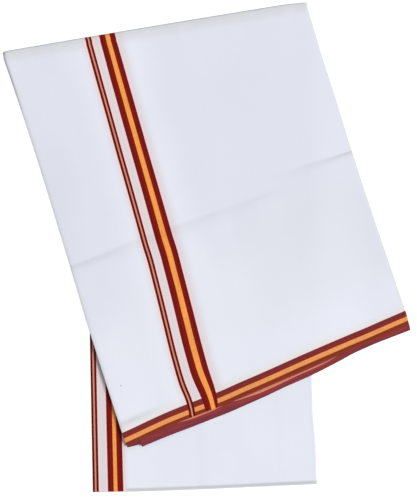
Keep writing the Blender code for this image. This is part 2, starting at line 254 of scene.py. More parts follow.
# Soft ramps: from this value to that one, the first share and the last one.
RAMPS = {
    "later_at_right": (0.15, 0.40, 0.0, 0.07),
    # Painted light on the white: brighter towards both hems, and about the wide stripe.
    "painted_light_to_hems": (0.26, 0.54, 0.0, 0.32),
    "painted_light_by_stripes": (0.02, 0.08, 0.35, 0.0),
    "white": (0.1, 0.7),
    # Painted shade: the grey line along the back hem.
    "selvedge": (0.3 * MM, 4.6 * MM, 1.0, 0.0),
    # Painted shade: a patchy grey band along the crest and a grey strip along the right side; the side ramp
    # also lays cream along the left side.
    "crest_shade_patches": (0.35, 0.65, 0.75, 1.1),
    "crest": (6.0 * MM, 25.0 * MM, 1.0, 0.0),
    "crest_rim": (7.0 * MM, 12.0 * MM, 0.25, 1.0),
    "side": (0.0, 7.0 * MM, 0.4, 0.0),
    # Painted shade along the left edge near the crest.
    "left_edge_shade_across": (0.5 * MM, 4.5 * MM, 0.8, 0.0),
    "left_edge_shade_down": (40.0 * MM, 115.0 * MM, 1.0, 0.0),
    # Painted shade over the crease above the hem, and where the cloth slopes.
    "crease_shade": (1.0 * MM, 6.5 * MM, 0.75, 0.0),
    "crease_shade_left": (15.0 * MM, 85.0 * MM, 1.0, 0.0),
    "slope_shade": (0.03, 0.12, 1.0, 0.0),
    "slope_shade_right": (0.18, 0.34, 0.08, 0.26),
    "above_hem": (HEM_BAND[0], HEM_BAND[0] + 15.0 * MM, 0.9, 0.0),
    "spot": (0.6 * MM, 2.0 * MM, 0.8, 0.0),
    "lowest_yarns": (1.0 * MM, 4.5 * MM),
    "streaks": (0.40, 0.64, 0.0, 0.75),
    "yarns": (0.7, 1.3),
}
CROSSING_SHARE = 0.25           # of the over-and-under in a thread's height
DYED_RISE = 0.6                 # how much higher dyed yarns stand, in thread heights
COTTON_FINISH = {
    "Roughness": 0.88,
    "Specular IOR Level": 0.05,
    "Sheen Weight": 0.04,
    "Sheen Roughness": 0.6,
}

# ---- creases and undulations ---------------------------------------------------
# Two creases run across the front section, one from each side edge. At each share of
# the width: its way from the fold, how high the cloth steps up over it, and how soon.
# It sinks slowly towards that step, by a share of its height, and falls away past it.
MID_CREASES = (
    {
        "share": (0.00, 0.06, 0.12, 0.16, 0.20, 0.30, 0.42, 0.48, 0.55, 0.65, 0.72, 0.80),
        "way": (0.5366, 0.5348, 0.5317, 0.5292, 0.5265, 0.5222,
                0.5162, 0.5151, 0.5112, 0.5046, 0.5004, 0.4980),
        "height": (2.70, 3.20, 3.90, 3.80, 3.90, 3.60, 4.20, 4.10, 2.00, 2.60, 0.80, 0.00),
        "rise": (2.8, 3.3, 4.6, 5.8, 7.0, 7.0, 7.0, 7.0, 6.0, 5.0, 5.0, 5.0),
        "sunk": 0.0,
    },
    {
        "share": (0.66, 0.75, 0.80, 0.84, 0.90, 0.95, 1.00),
        "way": (0.4580, 0.4566, 0.4550, 0.4533, 0.4512, 0.4503, 0.4476),
        "height": (0.00, 0.50, 1.50, 2.30, 2.50, 3.20, 3.30),
        "rise": (4.5, 4.5, 4.2, 3.8, 2.8, 2.0, 1.9),
        "sunk": 0.6,
    },
)
CREASE_SINK = 45.0 * MM
CREASE_FALL = 130.0 * MM
# Mesh rows bend to lie along them: the rows' way from the fold across the width.
CREASE_ROWS = {
    "share": (0.00, 0.16, 0.42, 0.55, 0.65, 0.75, 0.84, 0.95, 1.00),
    "way": (0.5380, 0.5290, 0.5205, 0.5130, 0.4980, 0.4730, 0.4560, 0.4529, 0.4501),
}
CREASE_MIDDLE = 0.49            # the share of the way at which those rows would lie
# Soft shorter creases above the hem's band: how far from the hem, and the shares of
# the width between which each runs.
HEM_CREASES = (
    {"place": in_mm(39.0, 34.0), "from": -0.06, "to": 0.22, "height": 2.6 * MM, "rise": 4.0 * MM},
    {"place": in_mm(29.0, 29.0), "from": 0.33, "to": 0.52, "height": 0.8 * MM, "rise": 4.0 * MM},
)
HEM_CREASE_ENDS = (0.06, 0.12)  # they start and end over these shares of the width
HEM_CREASE_BEND = 0.15          # and go from their first place to their second over this one
# Creases along the back section: share of its width, and how high the cloth steps up.
BACK_CREASES = ((0.486, 1.00 * MM), (0.655, 0.35 * MM), (0.840, 0.45 * MM))
BACK_CREASE_RISE = 6.0 * MM
BACK_CREASE_SINK = 1.0          # a long way, so it hardly sinks towards the step
BACK_CREASE_FALL = 80.0 * MM
BACK_RELIEF_START = 0.1         # all this grows over the section's first share
# The floor side's creases: how high off the floor, where, and how soon they die away.
UNDER_CREASES = {
    "across": {"height": 0.35 * MM, "place": 0.36, "run": 8.0 * MM},
    "along": {"height": 0.30 * MM, "place": 0.52, "run": 6.0 * MM},
}
UNDER_LENGTH = 0.68             # the back section's, near enough
# Slow unevenness: sine waves, with turns in radians for each metre of X and Y.
UNDULATIONS = (
    {"height": 0.16 * MM, "x": 41.0, "y": 11.0, "phase": 0.7},
    {"height": 0.16 * MM, "x": -17.0, "y": 33.0, "phase": 2.1},
    {"height": 0.06 * MM, "x": 67.0, "y": -23.0, "phase": 4.0},
)
BACK_UNEVENNESS = 0.7           # the back section has this share of it
# Small folds that fan out from the turn: radians for each metre across, and how much
# each wave leans down the section.
PUCKERS = (
    {"share": 1.0, "across": 97.0, "phase": 0.4, "lean": 0.0},
    {"share": 0.8, "across": 163.0, "phase": 2.0, "lean": 9.0},
    {"share": 0.6, "across": 241.0, "phase": 0.0, "lean": 30.0},
)
PUCKER_HEIGHT = 0.11 * MM
PUCKER_SHARE = 0.035            # the share of the way over which they die away

# ---- how finely tables are averaged and spacings are added up -------------------------
EASED_OVER = 7
SPACING_STEPS = 2001

# ---- the mesh: rows in the front section, fold and back section; columns of a layer --
COUNTS = {
    "front_cloth": {"rows": (180, 15, 62), "columns": 112},
    "second_cloth": {"rows": (120, 11, 50), "columns": 80},
    "inner_pleats": {"rows": (72, 11, 50), "columns": 26},
    "back_cloth": {"rows": (70, 11, 110), "columns": 100},
}
END_COLUMNS = 7
PLEAT_COLUMNS = 7
INNER_PLEAT_COLUMNS = 5
SHARP_ANGLE = np.radians(50.0)  # a sheet's thin rims turn by more, its folds by less

# ---- the stage ----------------------------------------------------------------------
FLOOR_HALF = 30.0
FLOOR_GREY = (0.27, 0.27, 0.27, 1.0)
FLOOR_ROUGHNESS = 0.9
WHITE_LIGHT = (1.0, 1.0, 1.0, 1.0)
KEY_DISTANCE = 3.0
SENSOR = 36.0                   # millimetres, as the lens is
VIEW_MIDDLE = in_mm(3.4, -3.1, 8.0)


def smooth(x):
    """A soft step: 3 x squared minus 2 x cubed, for x held between 0 and 1."""
    x = np.clip(x, 0.0, 1.0)
    return x * x * (3.0 - 2.0 * x)


def eased(x, table, key, width=0.03):
    """A table read along straight lines, averaged over a width so its bends are round."""
    offsets = width * np.linspace(-0.5, 0.5, EASED_OVER)
    return sum(np.interp(x + offset, table["share"], table[key]) for offset in offsets) / len(offsets)


def begun(x, table):
    """A soft step that starts from a table's own place and goes over its own way."""
    return smooth((x - table["from"]) / table["over"])


def quarter_ellipse(inside):
    """1 at an edge and 0 from 1 on: 1 less the root of 1 less the square of 1 - inside."""
    out = 1.0 - np.clip(inside, 0.0, 1.0)
    return 1.0 - np.sqrt(1.0 - out ** 2)


# ---- the plan: where each point of the packet lies, seen from above -------------

def bowed_line(start, end, bows, share):
    """A point along a chord, moved off it by the quartic that passes the three bows."""
    start, end = np.array(start), np.array(end)
    chord = end - start
    right = np.array((chord[1], -chord[0])) / np.hypot(*chord)
    quarters = np.array((0.0, 0.25, 0.5, 0.75, 1.0))
    bow = np.polyval(np.polyfit(quarters, np.array((0.0, *bows, 0.0)), 4), share)
    return start + chord * np.asarray(share)[..., None] + right * bow[..., None]


FOLD_VECTOR = np.array(FOLD_RIGHT) - np.array(FOLD_LEFT)
WIDTH = np.hypot(*FOLD_VECTOR)
OUT_OF_FOLD = np.array((-FOLD_VECTOR[1], FOLD_VECTOR[0])) / WIDTH
FLAT_LEFT = np.array(FOLD_LEFT) - OUT_OF_FOLD * FOLD_DEPTH
FLAT_RIGHT = np.array(FOLD_RIGHT) - OUT_OF_FOLD * FOLD_DEPTH
FRONT_LENGTHS = (np.hypot(*(FLAT_LEFT - HEM_LEFT)), np.hypot(*(FLAT_RIGHT - HEM_RIGHT)))
BACK_LENGTHS = (np.hypot(*(FLAT_LEFT - BACK_LEFT)), np.hypot(*(FLAT_RIGHT - BACK_RIGHT)))


def between(pair, u):
    """The value at u across, on a straight line from the left one to the right one."""
    return pair[0] + (pair[1] - pair[0]) * u


def back_left_x(y):
    """X of the back section's left edge: a leaning line, less a square ease-in."""
    turn_in = np.clip((FLAT_LEFT[1] - y) / MARGIN_LENGTH, 0.0, 1.0)
    straight = BACK_LEFT[0] - BACK_EDGE_LEAN * (y - BACK_LEFT[1])
    corner = BACK_LEFT[0] - BACK_EDGE_LEAN * (FLAT_LEFT[1] - BACK_LEFT[1])
    return straight - (corner - FLAT_LEFT[0]) * (1.0 - turn_in) ** 2


def back_left_edge(share):
    """The back section's left edge, at a share of its height."""
    y = FLAT_LEFT[1] + (BACK_LEFT[1] - FLAT_LEFT[1]) * share
    return np.stack((back_left_x(y), y), axis=-1)


def back_right_x(y):
    """X of the back section's right edge at a given Y."""
    share = np.clip((FLAT_RIGHT[1] - y) / (FLAT_RIGHT[1] - BACK_RIGHT[1]), 0.0, 1.0)
    return bowed_line(FLAT_RIGHT, BACK_RIGHT, EDGE_BOWS["back_right"], share)[..., 0]


def fold_line(u):
    """Where the packet leaves the flat and starts to turn over: a straight line."""
    return FLAT_LEFT + (FLAT_RIGHT - FLAT_LEFT) * np.asarray(u)[..., None]


def patch(u, v, bottom, left, right):
    """The sheet that four edges span: both straight blends, less the corners' blend."""
    cross = (1 - v)[..., None] * fold_line(u) + v[..., None] * bottom(u)
    down = (1 - u)[..., None] * left(v) + u[..., None] * right(v)
    corners = 0.0
    for share_u, end_u in ((1 - u, 0.0), (u, 1.0)):
        for share_v, edge in ((1 - v, fold_line), (v, bottom)):
            corners = corners + (share_u * share_v)[..., None] * edge(np.array(end_u))
    return cross + down - corners


def front_plan(u, v):
    """X and Y in the front section: u from its left edge, v from fold to hem."""
    plan = patch(
        u, v,
        lambda s: bowed_line(HEM_LEFT, HEM_RIGHT, EDGE_BOWS["hem"], s),
        lambda s: bowed_line(FLAT_LEFT, HEM_LEFT, EDGE_BOWS["front_left"], s),
        lambda s: bowed_line(FLAT_RIGHT, HEM_RIGHT, EDGE_BOWS["front_right"], s),
    )
    for side, inside in (("left", u), ("right", 1.0 - u)):
        stray = eased(v, FRONT_STRAY, side)
        plan[..., 0] += stray * smooth(1.0 - inside / FRONT_STRAY_WIDTH)
    return plan


def back_plan(u, v):
    """X and Y in the back section: u from its left edge, v from fold to hem."""
    plan = patch(
        u, v,
        lambda s: bowed_line(BACK_LEFT, BACK_RIGHT, EDGE_BOWS["back_hem"], s),
        back_left_edge,
        lambda s: bowed_line(FLAT_RIGHT, BACK_RIGHT, EDGE_BOWS["back_right"], s),
    )
    stray = eased(v, BACK_STRAY, "right", width=0.02)
    plan[..., 0] += stray * smooth(1.0 - (1.0 - u) / BACK_STRAY_WIDTH)
    return plan


# ---- heights: the stack, its pressed edges, creases and undulations -------------

def front_underside(u, v, plan):
    """The front section's underside: level on the back one, then a soft slope to the floor.

    Its left edge curls up a little towards the hem.
    """
    x, y = plan[..., 0], plan[..., 1]
    step = 1.0 * MM
    lean = (back_left_x(y) - back_left_x(y + step)) / step
    past_left = (back_left_x(y) - x) / np.hypot(1.0, lean)
    outside = np.maximum(past_left, x - back_right_x(y))
    curl = CURL["height"] * smooth(1.0 - u / CURL["width"]) * begun(v, CURL)
    curl = curl * (1.0 - CURL_LESS["share"] * begun(v, CURL_LESS))
    return LIFT * (1.0 - smooth(outside / RAMP)) + curl


def rounded(edge, inside):
    """The share of the height lost at so many metres inside an edge: a quarter ellipse."""
    share, way = PRESSED[edge]
    return share * quarter_ellipse(inside / way)


def pressed(u, more=0.0):
    """A share of the stack's height: 1 inside, less within a short way of both sides.

    Where the left side is pressed more, that way is longer by twice that share.
    """
    left = (1.0 + more) * rounded("left", u * WIDTH / (1.0 + 2.0 * more))
    return 1.0 - left - rounded("right", (1.0 - u) * WIDTH)


def undulation(x, y):
    """A slow unevenness: three crossed sine waves of 90 to 260 mm, under half a millimetre."""
    return sum(
        wave["height"] * np.sin(wave["x"] * x + wave["y"] * y + wave["phase"]) for wave in UNDULATIONS)


def puckers(u, v):
    """Small folds that fan out from the turn: three sine waves across, dying away down."""
    x = u * WIDTH
    waves = sum(
        wave["share"] * np.sin(x * wave["across"] + wave["phase"] + wave["lean"] * v) for wave in PUCKERS)
    return PUCKER_HEIGHT * waves * np.exp(-v / PUCKER_SHARE)


def step_up(distance, rise):
    """A soft step from 0 to 1, steepest at 0: 1 less (1 + x) times e to the minus x.

    x is the distance in rises, plus 1, and no less than 0.
    """
    x = np.maximum(distance / rise + 1.0, 0.0)
    return 1.0 - (1.0 + x) * np.exp(-x)


def trough(distance, run_in, run_out):
    """A crease: 1 in its line, dying away exponentially on either side at its own rate."""
    return np.exp(np.where(distance < 0.0, distance / run_in, -distance / run_out))


def crease_rows_way(u):
    """The share of the way from fold to hem at which the rows along the creases lie."""
    return eased(u, CREASE_ROWS, "way", width=0.05)


def front_relief(u, v, plan):
    """Height added to the top of the front section."""
    length = between(FRONT_LENGTHS, u)
    height = undulation(plan[..., 0], plan[..., 1]) + puckers(u, v)
    for crease in MID_CREASES:
        past = (v - eased(u, crease, "way", width=0.05)) * length
        step, rise = (eased(u, crease, key) * MM for key in ("height", "rise"))
        dying = trough(past, CREASE_SINK, CREASE_FALL)
        height = height + step * (step_up(past, rise) - crease["sunk"]) * dying
    from_hem = (1.0 - v) * length
    for crease in HEM_CREASES:
        start, end = HEM_CREASE_ENDS
        ends = smooth((u - crease["from"]) / start) * smooth((crease["to"] - u) / end)
        place = between(crease["place"], np.clip(u / HEM_CREASE_BEND, 0.0, 1.0))
        height = height + crease["height"] * ends * step_up(place - from_hem, crease["rise"])
    return height


def back_relief(u, v, plan):
    """Height added to the top of the back section: lengthwise creases and unevenness.

    All of it grows slowly past the fold.
    """
    across = u * BACK_WIDTH
    height = BACK_UNEVENNESS * undulation(plan[..., 1], plan[..., 0])
    for place, step in BACK_CREASES:
        past = across - place * BACK_WIDTH
        dying = trough(past, BACK_CREASE_SINK, BACK_CREASE_FALL)
        height = height + step * step_up(past, BACK_CREASE_RISE) * dying
    return height * smooth(v / BACK_RELIEF_START)


def underside_relief(u, v):
    """How far the floor side's creases rise off the floor: one across and one along."""
    heights = []
    for line, way, length in (("across", v, UNDER_LENGTH), ("along", u, BACK_WIDTH)):
        crease = UNDER_CREASES[line]
        past = (way - crease["place"]) * length
        heights.append(crease["height"] * trough(past, crease["run"], crease["run"]))
    return np.maximum(*heights)


def corner_pull(u):
    """How far the crest is drawn back: a quarter ellipse at each end and a slow sag."""
    sag = CREST_SAG * smooth(1.0 - (1.0 - u) / CREST_SAG_SHARE)
    pull = sag - CREST_BOW * 4.0 * u * (1.0 - u) - CREST_OUT
    for side, share in (("left", u), ("right", 1.0 - u)):
        pull = pull + CORNER_PULL[side] * quarter_ellipse(share / CORNER_WIDTH[side])
    return pull


def packet_points(u, t, slot, thickness):
    """Points in the packet, as one array.

    u runs across from the left edge; t from 0 at the front hem to 1 at the fold, 2
    past it and 3 at the back hem; slot from 0 outside to SLOTS inside. Heights are a
    straight blend between the section's two faces by slot, less towards the end of a
    hem that stands out past the outline. The fold is a half superellipse from the
    front height to the back one.
    """
    front_v, back_v = 1.0 - np.minimum(t, 1.0), np.maximum(t, 2.0) - 2.0
    front_xy, back_xy = front_plan(u, front_v), back_plan(u, back_v)
    inward = slot / SLOTS

    more = PRESSED_MORE["share"] * begun(front_v, PRESSED_MORE)
    loft = LOFT * smooth(1.0 - front_v / LOFT_SHARE)
    stack = (FRONT_STACK + loft - thickness) * pressed(u, more)
    front_top = stack + front_relief(u, front_v, front_xy)
    past_hem = (front_v - 1.0) * between(FRONT_LENGTHS, u)
    front_top = front_top * (1.0 - HEM_SINK[0] * smooth(past_hem / HEM_SINK[1]))
    front_z = front_underside(u, front_v, front_xy) + 0.5 * thickness + front_top * (1.0 - inward)

    from_tail = (1.0 - back_v) * between(BACK_LENGTHS, u)
    tail = 1.0 - rounded("tail", from_tail)
    back_top = (BACK_STACK - thickness) * pressed(u) * tail + back_relief(u, back_v, back_xy)
    back_z = 0.5 * thickness + back_top * inward + underside_relief(u, back_v) * (1.0 - inward) ** 2

    turn = np.clip(t - 1.0, 0.0, 1.0)
    angle = np.pi * (0.5 - turn)
    depth = FOLD_DEPTH - 0.5 * thickness - slot * FOLD_PITCH - corner_pull(u)
    out, up = (np.sign(s) * np.abs(s) ** (2.0 / FOLD_SQUARENESS) for s in (np.cos(angle), np.sin(angle)))
    fold_xy = front_xy + (back_xy - front_xy) * turn[..., None] + OUT_OF_FOLD * (depth * out)[..., None]
    fold_z = 0.5 * (front_z + back_z) + 0.5 * (front_z - back_z) * up

    points = []
    for xy, z in ((front_xy, front_z), (fold_xy, fold_z), (back_xy, back_z)):
        points.append(np.concatenate((xy, z[..., None]), axis=-1))
    part = t[..., None]
    return np.where(part <= 1.0, points[0], np.where(part >= 2.0, points[2], points[1]))


# ---- the sheets: runs across one layer, joined by round pleats ------------------

def stations(start, end, count, thick_at=(), spread=0.03, strength=2.0):
    """Shares from start to end, closer together about the given places.

    The spacing is the inverse of a density: 1 plus a bell curve at each place.
    """
    fine = np.linspace(start, end, SPACING_STEPS)
    density = np.ones_like(fine)
    for place in thick_at:
        density += strength * np.exp(-((fine - place) / spread) ** 2)
    reached = np.concatenate(([0.0], np.cumsum(0.5 * (density[1:] + density[:-1]))))
    return np.interp(np.linspace(0.0, reached[-1], count), reached, fine)


def rows(front, fold, back):
    """Stations down the packet: so many in the front section, the fold and the back."""
    return np.concatenate((
        stations(0.0, 1.0, front, (0.0, 1.0 - CREASE_MIDDLE, 1.0)),
        np.linspace(1.0, 2.0, fold)[1:],
        stations(2.0, 3.0, back, (3.0,), spread=0.1)[1:],
    ))


def inset(table, t):
    """An edge's inset down the packet, as a share of the width: straight between stations."""
    hem, fold, tail = table
    return np.interp(t, (0.0, 1.0, 2.0, 3.0), (hem, fold, fold, tail)) / WIDTH


def layer_edges(layer, t):
    """The shares of the width between which a layer lies flat, down the packet."""
    left = (inset(LEFT_INSETS[(layer + 1) // 2], t) + TURN_BULGE / WIDTH)[None, :]
    right = 1.0 - (inset(RIGHT_INSETS[layer // 2], t) + TURN_BULGE / WIDTH)[None, :]
    return left, right


def reach(layer, u):
    """How far a layer's two hems stand out past the outline."""
    hem = np.full_like(u, HEM_REACH[layer])
    if layer in HEM_REACHES:
        hem = eased(u, HEM_REACHES[layer], "reach")
    return hem, np.full_like(u, TAIL_REACH[layer])


def run(layer, start, end, t, slot=None, shy=0.0):
    """A flat run across a layer, from one array of shares of its width to the next.

    start and end are (share, metres): the point that share across the layer, moved
    right by so many metres. A third value in start is the count of columns.
    """
    left, right = layer_edges(layer, t)
    shares = np.linspace(0.0, 1.0, start[2])[:, None]
    begin = left + (right - left) * start[0] + start[1] / WIDTH
    finish = left + (right - left) * end[0] + end[1] / WIDTH
    u = begin + (finish - begin) * shares
    hem, tail = reach(layer, u)
    level = LAYER_SLOT[layer] if slot is None else slot
    return {"u": u, "slot": np.full_like(u, level), "hem": hem - shy, "tail": tail - shy}


def turn(side, before, after, count=PLEAT_COLUMNS):
    """A pleat's round edge: a half ellipse from the slot of one run to that of the next."""
    angle = np.linspace(0.0, np.pi, count + 2)[1:-1, None]
    share = 0.5 * (1.0 - np.cos(angle))
    last, first = before["u"][-1:], after["u"][:1]
    joined = {"u": last + (first - last) * share + side * TURN_BULGE / WIDTH * np.sin(angle)}
    for key in ("slot", "hem", "tail"):
        joined[key] = before[key][-1:] + (after[key][:1] - before[key][-1:]) * share
    return joined


def sheet_grid(strips, t, thickness):
    """The points of a sheet, from its strips side by side.

    Each hem's reach is added to the way down the packet, fading over a short stretch,
    and mesh rows in the front section are bent to follow the crease across it.
    """
    u, slot, hem, tail = (np.concatenate([s[key] for s in strips]) for key in ("u", "slot", "hem", "tail"))
    down = np.broadcast_to(t, u.shape)
    way = np.clip(1.0 - down, 0.0, 1.0)
    hat = np.where(way < CREASE_MIDDLE, way / CREASE_MIDDLE, (1.0 - way) / (1.0 - CREASE_MIDDLE))
    bent = down - (crease_rows_way(u) - CREASE_MIDDLE) * smooth(hat)
    bent = bent - hem / between(FRONT_LENGTHS, u) * np.clip(1.0 - down / REACH_SHARE, 0.0, 1.0)
    bent = bent + tail / between(BACK_LENGTHS, u) * np.clip(1.0 - (3.0 - down) / REACH_SHARE, 0.0, 1.0)
    return u, bent, packet_points(u, bent, slot, thickness)


def way_from_hem(u, t):
    """Metres along the cloth from the front hem: front section, fold, then back section."""
    front, back = between(FRONT_LENGTHS, u), between(BACK_LENGTHS, u)
    return np.minimum(t, 1.0) * front + np.clip(t - 1.0, 0.0, 1.0) * FOLD_ARC \
        + np.maximum(t - 2.0, 0.0) * back


def grid_mesh(name, points, across, along, down, thickness):
    """A closed sheet on a grid of points, with its place on the cloth as its UV map.

    A second UV map holds the metres to the plain selvedge, at the packet's back hem,
    and to the crest of the fold. Quads join neighbouring points; Solidify gives them
    their thickness, half to each side, and is applied so that the thin rims can be
    marked sharp.
    """
    columns, count = points.shape[:2]
    index = np.arange(columns * count).reshape(columns, count)
    a, b, c, d = index[:-1, :-1], index[1:, :-1], index[1:, 1:], index[:-1, 1:]
    quads = np.stack((a, b, c, d), axis=-1).reshape(-1, 4)
    mesh = bpy.data.meshes.new(name)
    mesh.from_pydata(points.reshape(-1, 3).tolist(), [], quads.tolist())
    to_selvedge = (3.0 - down) * np.mean(BACK_LENGTHS)
    to_crest = np.abs(1.0 - down) * np.mean(FRONT_LENGTHS) + 0.5 * FOLD_ARC
    to_crest = np.where(down > 1.0, np.abs(1.5 - down) * FOLD_ARC, to_crest)
    for layer, (first, second) in ((CLOTH_UV, (across, along)), (EDGES_UV, (to_selvedge, to_crest))):
        places = np.stack((first, second), axis=-1).reshape(-1, 2)[quads.reshape(-1)]
        mesh.uv_layers.new(name=layer).uv.foreach_set("vector", places.astype(np.float32).reshape(-1))

    shell = bpy.data.objects.new(name + "_shell", mesh)
    bpy.context.collection.objects.link(shell)
    wall = shell.modifiers.new("wall", "SOLIDIFY")
    wall.thickness = thickness
    wall.offset = 0.0
    whole = bpy.data.meshes.new_from_object(shell.evaluated_get(bpy.context.evaluated_depsgraph_get()))
    whole.name = name
    bpy.data.objects.remove(shell)
    bpy.data.meshes.remove(mesh)
    whole.shade_smooth()
    whole.set_sharp_from_angle(angle=SHARP_ANGLE)
    piece = bpy.data.objects.new(name, whole)
    bpy.context.collection.objects.link(piece)
    return piece


def declare(piece, node):
    """Puts the sheet on the body that it rides on, and hides the solid that it stands for."""
    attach(piece, BODY)
    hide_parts(node)


# ---- materials ------------------------------------------------------------------

def opaque(colour):
    """A colour of three values with its alpha; a socket stays as it is."""
    return colour if isinstance(colour, bpy.types.NodeSocket) else (*colour, 1.0)


class Net:
    """A node tree being wired: values are set on sockets and sockets are linked."""

    def __init__(self, tree):
        self.tree = tree

    def node(self, kind, inputs=(), **settings):
        """A new node; inputs pairs a socket's name or number with a value or a socket."""
        made = self.tree.nodes.new(kind)
        for name, value in settings.items():
            setattr(made, name, value)
        for name, value in dict(inputs).items():
            if isinstance(value, bpy.types.NodeSocket):
                self.tree.links.new(value, made.inputs[name])
            else:
                made.inputs[name].default_value = value
        return made

    def math(self, operation, *values, clamp=False):
        """The result of a Math node on up to three values or sockets."""
        made = self.node("ShaderNodeMath", dict(enumerate(values)), operation=operation, use_clamp=clamp)
        return made.outputs[0]

    def distance(self, value, place):
        """How far a value is from a place."""
        return self.math("ABSOLUTE", self.math("SUBTRACT", value, place))

    def mix(self, factor, first, second):
        """The colour between two colours, each a socket or three values."""
        inputs = {0: factor, 6: opaque(first), 7: opaque(second)}
        return self.node("ShaderNodeMix", inputs, data_type="RGBA").outputs[2]

    def largest(self, first, *others):
        """The largest of some values."""
        for value in others:
            first = self.math("MAXIMUM", first, value)
        return first

    def ramp(self, value, low, high, start=0.0, end=1.0):
        """A value mapped from low..high to start..end with a soft S curve."""
        inputs = {"Value": value, "From Min": low, "From Max": high, "To Min": start, "To Max": end}
        return self.node("ShaderNodeMapRange", inputs, interpolation_type="SMOOTHSTEP").outputs["Result"]

    def soft(self, value, name):
        """A value mapped by the ramp of that name."""
        return self.ramp(value, *RAMPS[name])

    def overlap(self, first, second):
        """A mask that is large where two ramps both are: each is (value, ramp's name)."""
        return self.math("MULTIPLY", self.soft(*first), self.soft(*second))

    def noise(self, vector, name):
        """The noise of that name, about 0 to 1."""
        turns, detail, roughness = NOISES[name]
        scaled = self.node("ShaderNodeMapping", {"Vector": vector, "Scale": turns}).outputs["Vector"]
        inputs = {"Vector": scaled, "Scale": 1.0, "Detail": detail, "Roughness": roughness}
        return self.node("ShaderNodeTexNoise", inputs).outputs[0]


def new_group(name, inputs, outputs):
    """An empty shader group with named sockets; returns its net, inputs and output node."""
    group = bpy.data.node_groups.new(name, "ShaderNodeTree")
    kinds = {"colour": "NodeSocketColor", "value": "NodeSocketFloat", "vector": "NodeSocketVector"}
    for socket, kind in inputs:
        group.interface.new_socket(socket, in_out="INPUT", socket_type=kinds[kind])
    for socket, kind in outputs:
        group.interface.new_socket(socket, in_out="OUTPUT", socket_type=kinds[kind])
    net = Net(group)
    return net, net.node("NodeGroupInput").outputs, net.node("NodeGroupOutput").inputs


def plain_weave_group():
    """Over-and-under threads with uneven yarns: a height and a tone.

    The height is the product of two sine waves, one for each thread direction. The
    tone is noise drawn out along each direction, as thick and thin yarns show.
    """
    name = "plain_weave"
    if name in bpy.data.node_groups:
        return bpy.data.node_groups[name]
    net, given, result = new_group(
        name,
        (("Place", "vector"), ("Threads", "value")),
        (("Height", "value"), ("Tone", "value")),
    )
    split = net.node("ShaderNodeSeparateXYZ", {0: given["Place"]})
    waves = []
    for axis in ("X", "Y"):
        turns = net.math("MULTIPLY", split.outputs[axis], given["Threads"])
        waves.append(net.math("SINE", net.math("MULTIPLY", turns, 2.0 * np.pi)))
    crossing = net.math("MULTIPLY", waves[0], waves[1])
    warp = net.noise(given["Place"], "warp")
    weft = net.noise(given["Place"], "weft")
    yarns = net.math("ADD", warp, weft)
    net.tree.links.new(net.math("MULTIPLY_ADD", crossing, CROSSING_SHARE, yarns), result["Height"])
    net.tree.links.new(net.soft(yarns, "yarns"), result["Tone"])
    return net.tree


# The band group's inputs: places and widths along a way, then the colours of its yarns.
BAND_SIZES = ("Way", "Start", "Width", "Middle From", "Middle To", "Near Rim", "Far Rim", "Fringe", "Feather")
BAND_YARNS = ("First", "Middle", "Last", "Edge")


def band_group():
    """Three bands side by side: a colour and a mask.

    The way into the bands picks the colour, in soft steps where the middle one starts
    and ends, with the outermost yarns in the edge colour. The mask is 1 within them,
    with soft ends, and beside them another falls from 1 to 0 over the fringe.
    """
    name = "three_bands"
    if name in bpy.data.node_groups:
        return bpy.data.node_groups[name]
    net, given, result = new_group(
        name,
        [(socket, "value") for socket in BAND_SIZES] + [(socket, "colour") for socket in BAND_YARNS],
        (("Colour", "colour"), ("Mask", "value"), ("Beside", "value")),
    )
    into = net.math("SUBTRACT", given["Way"], given["Start"])
    left_over = net.math("SUBTRACT", given["Width"], into)
    inside = net.math("MINIMUM", into, left_over)
    half_feather = net.math("MULTIPLY", given["Feather"], 0.5)
    out_by = net.math("MULTIPLY", half_feather, -1.0)
    mask = net.ramp(inside, out_by, half_feather)
    colour = given["First"]
    for step, following in (("Middle From", "Middle"), ("Middle To", "Last")):
        past = net.math("SUBTRACT", into, given[step])
        colour = net.mix(net.ramp(past, out_by, half_feather), colour, given[following])
    near = net.ramp(into, 0.0, given["Near Rim"], 1.0, 0.0)
    far = net.ramp(left_over, 0.0, given["Far Rim"], 1.0, 0.0)
    rim = net.math("MAXIMUM", near, far)
    outside = net.math("MULTIPLY", given["Fringe"], -1.0)
    net.tree.links.new(net.mix(rim, colour, given["Edge"]), result["Colour"])
    net.tree.links.new(mask, result["Mask"])
    net.tree.links.new(net.ramp(inside, outside, 0.0), result["Beside"])
    return net.tree


def bands(net, weave, sizes, yarns):
    """Three bands on the cloth, with all their sizes but the feather."""
    inputs = dict(zip(BAND_SIZES, (*sizes, weave.feather)))
    inputs.update(zip(BAND_YARNS, (opaque(yarn) for yarn in yarns)))
    return net.node("ShaderNodeGroup", inputs, node_tree=band_group())


def hem_band(net, colours, weave, place, along, striped):
    """The band along the hem.

    Its first colour is duller in the lowest yarns of a striped cloth, and streaked with
    the edge colour on any other.
    """
    from_hem = net.math("MAXIMUM", along, weave.feather)
    if striped:
        low = net.mix(net.soft(along, "lowest_yarns"), colours.under_low, colours.hem_low)
        middle = colours.hem_orange
    else:
        streaks = net.noise(place, "streaks")
        low = net.mix(net.soft(streaks, "streaks"), colours.under_low, colours.hem_edge)
        middle = colours.under_middle
    sizes = (from_hem, 0.0, *HEM_BAND, *HEM_RIMS, HEM_FRINGE)
    return bands(net, weave, sizes, (low, middle, colours.hem_maroon, colours.hem_edge))


def stripe(net, colours, weave, across, kind, sizes):
    """One stripe along the cloth."""
    look = STRIPE_LOOKS[kind]
    outer, middle = getattr(colours, look["outer"]), getattr(colours, look["middle"])
    sizes = (across, *sizes, look["rim"], look["rim"], STRIPE_FRINGE)
    return bands(net, weave, sizes, (outer, middle, outer, colours.maroon_edge))


